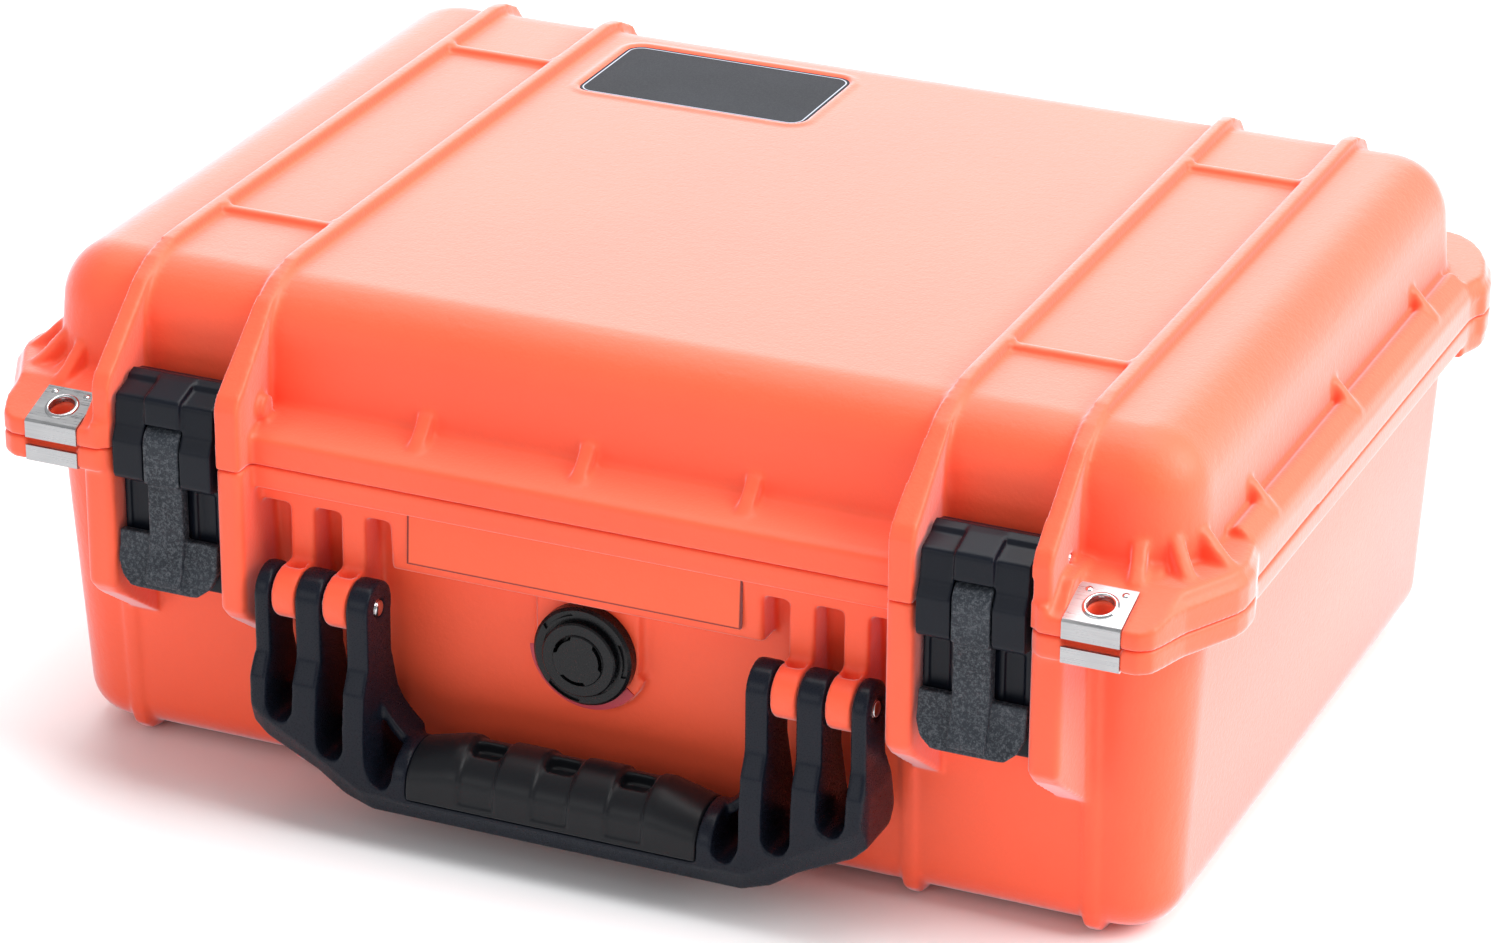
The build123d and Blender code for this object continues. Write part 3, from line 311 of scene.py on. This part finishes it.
def relax(me, rounds, lam=0.5, mu=None):
    """Average every vertex toward its neighbours; mu gives the swell of a two-step filter."""
    n = len(me.vertices)
    co = np.empty(n * 3, np.float64)
    me.vertices.foreach_get("co", co)
    co = co.reshape(-1, 3)
    ed = np.empty(len(me.edges) * 2, np.int64)
    me.edges.foreach_get("vertices", ed)
    ed = ed.reshape(-1, 2)
    deg = np.bincount(ed.ravel(), minlength=n).astype(float)[:, None]
    deg[deg == 0] = 1

    def step(c, k):
        s = np.empty_like(c)
        for a in range(3):
            s[:, a] = (np.bincount(ed[:, 0], weights=c[ed[:, 1], a], minlength=n)
                       + np.bincount(ed[:, 1], weights=c[ed[:, 0], a], minlength=n))
        return c + k * (s / deg - c)

    for _ in range(rounds):
        co = step(co, lam)
        if mu is not None:
            co = step(co, mu)
    me.vertices.foreach_set("co", co.ravel())
    me.update()


def soften(node, voxel, rounds, keep, mu=None):
    """A finely meshed copy of a CAD node with its edges and inner corners rounded."""
    me = nodes[node].data.copy()
    bm = bmesh.new()
    bm.from_mesh(me)
    bmesh.ops.remove_doubles(bm, verts=bm.verts, dist=2e-6)
    bm.to_mesh(me)
    bm.free()
    ob = bpy.data.objects.new(node + "_moulded", me)
    scene.collection.objects.link(ob)
    mod = ob.modifiers.new("remesh", "REMESH")
    mod.mode = "VOXEL"
    mod.voxel_size = voxel
    mod.adaptivity = 0.0
    me2 = evaluated_mesh(ob)
    ob.modifiers.clear()
    relax(me2, rounds, 0.5, mu)
    ob.data = me2
    if keep < 1.0:
        mod = ob.modifiers.new("decimate", "DECIMATE")
        mod.ratio = keep
        me3 = evaluated_mesh(ob)
        ob.modifiers.clear()
        ob.data = me3
    ob.data.polygons.foreach_set("use_smooth", [True] * len(ob.data.polygons))
    ob.data.update()
    return ob


def mirrored(ob, name):
    """The same mesh on the other side of the middle plane."""
    me = ob.data.copy()
    n = len(me.vertices)
    co = np.empty(n * 3, np.float32)
    me.vertices.foreach_get("co", co)
    co[0::3] *= -1
    me.vertices.foreach_set("co", co)
    me.flip_normals()
    me.update()
    o = bpy.data.objects.new(name, me)
    scene.collection.objects.link(o)
    return o


def stand_for(ob, node):
    dress(ob, M[slot_of[node]])
    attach(ob, body_of_node[node])
    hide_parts(node)


def lathe(name, profile, seg=48):
    """Closed solid of revolution about Z from (r, z) points, given in millimetres."""
    verts, faces, rings = [], [], []
    for r, z in profile:
        if r < 1e-6:
            rings.append([len(verts)])
            verts.append((0, 0, z * MM))
        else:
            rings.append(list(range(len(verts), len(verts) + seg)))
            for i in range(seg):
                a = 2 * math.pi * i / seg
                verts.append((r * MM * math.cos(a), r * MM * math.sin(a), z * MM))
    closed = profile[0][0] > 1e-6 and profile[-1][0] > 1e-6
    pairs = list(zip(rings, rings[1:])) + ([(rings[-1], rings[0])] if closed else [])
    for a, b in pairs:
        for i in range(seg):
            j = (i + 1) % seg
            if len(a) == 1:
                faces.append((a[0], b[j], b[i]))
            elif len(b) == 1:
                faces.append((a[i], a[j], b[0]))
            else:
                faces.append((a[i], a[j], b[j], b[i]))
    ob = new_object(name, verts, faces)
    bm = bmesh.new()
    bm.from_mesh(ob.data)
    bmesh.ops.recalc_face_normals(bm, faces=bm.faces)
    bm.to_mesh(ob.data)
    bm.free()
    return ob


def place(ob, mat4):
    ob.data.transform(mat4)
    ob.data.update()


# ---------------------------------------------------------------------------
# moulded pieces
# ---------------------------------------------------------------------------
stand_for(soften("base_shell", 0.88 * MM, 2, 0.32), "base_shell")
stand_for(soften("lid_shell", 0.88 * MM, 2, 0.34), "lid_shell")
stand_for(soften("handle_frame", 0.60 * MM, 8, 0.35), "handle_frame")
stand_for(soften("handle_grip", 0.45 * MM, 6, 0.40), "handle_grip")
body_r = soften("latch_body_right", 0.42 * MM, 5, 0.40)
lever_r = soften("latch_lever_right", 0.36 * MM, 5, 0.45)
body_l = mirrored(body_r, "latch_body_left_moulded")
lever_l = mirrored(lever_r, "latch_lever_left_moulded")
stand_for(body_r, "latch_body_right")
stand_for(body_l, "latch_body_left")
stand_for(lever_r, "latch_lever_right")
stand_for(lever_l, "latch_lever_left")

# flared rims round the padlock holes, and the small dimples at the back of each plate
TILT = math.atan2(5.15, 14.9)
for sx, side in ((1, "right"), (-1, "left")):
    rim = lathe("eyelet_rim_" + side, [(4.02, -0.9), (4.02, 0.15), (4.15, 0.42), (4.45, 0.58), (4.85, 0.56), (5.25, 0.36), (5.5, 0.05),
                                       (5.5, -0.2), (4.6, -0.2), (4.4, -0.9)], 64)
    place(rim, Matrix.Translation((sx * 169.7 * MM, -153.1 * MM, 123.62 * MM)) @ Matrix.Rotation(TILT, 4, "X"))
    dress(rim, polish)
    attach(rim, "lid")
    for k, dx in enumerate((-5.6, 5.6)):
        d = lathe(f"eyelet_dimple_{side}_{k}", [(0.0, 0.34), (0.45, 0.31), (0.85, 0.2), (1.15, 0.0), (1.15, -0.3), (0.0, -0.3)], 32)
        place(d, Matrix.Translation((sx * (169.7 + dx) * MM, -147.6 * MM, 125.5 * MM)) @ Matrix.Rotation(TILT, 4, "X"))
        dress(d, polish)
        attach(d, "lid")
    # domed ends of the handle pin
    for k, (x, s) in enumerate(((62.4, -1), (101.2, 1))):
        p = lathe(f"handle_pin_end_{side}_{k}", [(0.0, 0.75), (0.9, 0.7), (1.7, 0.52), (2.35, 0.22), (2.62, -0.1), (2.62, -0.6), (0.0, -0.6)], 40)
        turn = Matrix.Rotation(sx * s * math.pi / 2, 4, "Y")
        place(p, Matrix.Translation((sx * x * MM, -151.8 * MM, 75.6 * MM)) @ turn)
        dress(p, polish)
        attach(p, "handle")

# ---------------------------------------------------------------------------
# studio
# ---------------------------------------------------------------------------
floor = new_object("floor", [(-6, -6, 0), (6, -6, 0), (6, 6, 0), (-6, 6, 0)], [(0, 1, 2, 3)], False)
fm = Mat("floor_pale")
fm.colour(fm.mix(fm.remap(fm.noise(3.0, 2.0, 0.5), 0.3, 0.7, 0.0, 1.0), (0.90, 0.90, 0.905), (0.92, 0.92, 0.925)))
fm.rough(0.8)
fm.level(specular=0.1)
dress(floor, fm.m)

world = bpy.data.worlds.new("studio")
scene.world = world
world.use_nodes = True
bg = world.node_tree.nodes["Background"]
bg.inputs[0].default_value = (0.97, 0.98, 1.0, 1.0)
bg.inputs[1].default_value = 0.56


def area(name, loc, aim, size, power, colour=(1, 1, 1)):
    d = bpy.data.lights.new(name, "AREA")
    d.shape = "RECTANGLE"
    d.size, d.size_y = size
    d.energy = power
    d.color = colour
    o = bpy.data.objects.new(name, d)
    scene.collection.objects.link(o)
    o.location = loc
    o.rotation_euler = (Vector(aim) - Vector(loc)).to_track_quat("-Z", "Y").to_euler()
    return o


area("key", (2.1, 0.3, 1.5), (0, 0, 0.08), (1.8, 1.6), 84)
area("top", (0.1, 0.4, 2.3), (0, 0, 0.1), (2.2, 1.8), 54)
area("back", (-0.95, 2.2, 1.15), (0, 0, 0.12), (2.4, 1.4), 40)
area("front_fill", (-0.9, -2.4, 1.0), (0, 0, 0.08), (1.8, 1.0), 9)
